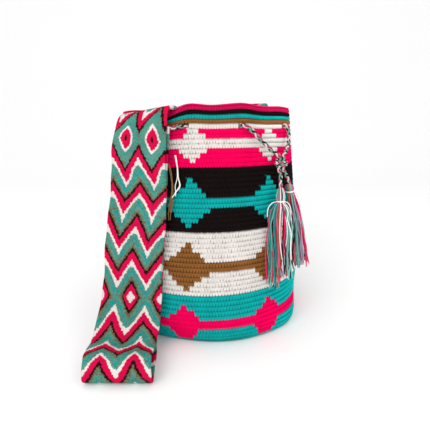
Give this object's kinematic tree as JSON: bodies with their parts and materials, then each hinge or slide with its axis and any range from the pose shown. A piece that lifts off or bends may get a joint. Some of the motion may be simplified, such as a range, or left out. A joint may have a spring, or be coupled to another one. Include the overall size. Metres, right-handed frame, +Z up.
{
  "type": "crocheted bucket bag",
  "caption": "Crocheted cylindrical bucket bag with bands of stepped diamonds, a wide woven zigzag shoulder strap and a braided drawstring with tassels.",
  "frame": {"origin": "centre of the bag's flat base, on the floor", "axes": "+Z up along the bag's round axis, -Y towards the front, where the strap hangs at the left and the tassels at the right"},
  "size_m": [0.2316, 0.293, 0.2545],
  "materials": {
    "crochet_yarn": "single crochet in cotton yarn, matt",
    "strap_weave": "dense hand weave, matt",
    "braided_cord": "round braid of mixed yarns",
    "tassel_yarn": "cut strands of mixed yarns",
    "tie_yarn": "wound yarn",
    "sewing_yarn": "sewn yarn",
    "loose_white_yarn": "loose twisted yarn",
    "loose_tan_yarn": "loose twisted yarn"
  },
  "bodies": {
    "root": {"bag_body": "crochet_yarn", "drawstring": "braided_cord", "drawstring_knot": "braided_cord", "front_tassel": "tassel_yarn", "front_tassel_tie": "tie_yarn", "rear_tassel": "tassel_yarn", "rear_tassel_tie": "tie_yarn", "shoulder_strap": "strap_weave", "front_strap_seam": "sewing_yarn", "back_strap_seam": "sewing_yarn", "white_yarn_tail": "loose_white_yarn", "tan_yarn_tail": "loose_tan_yarn"}
  },
  "joints": []
}
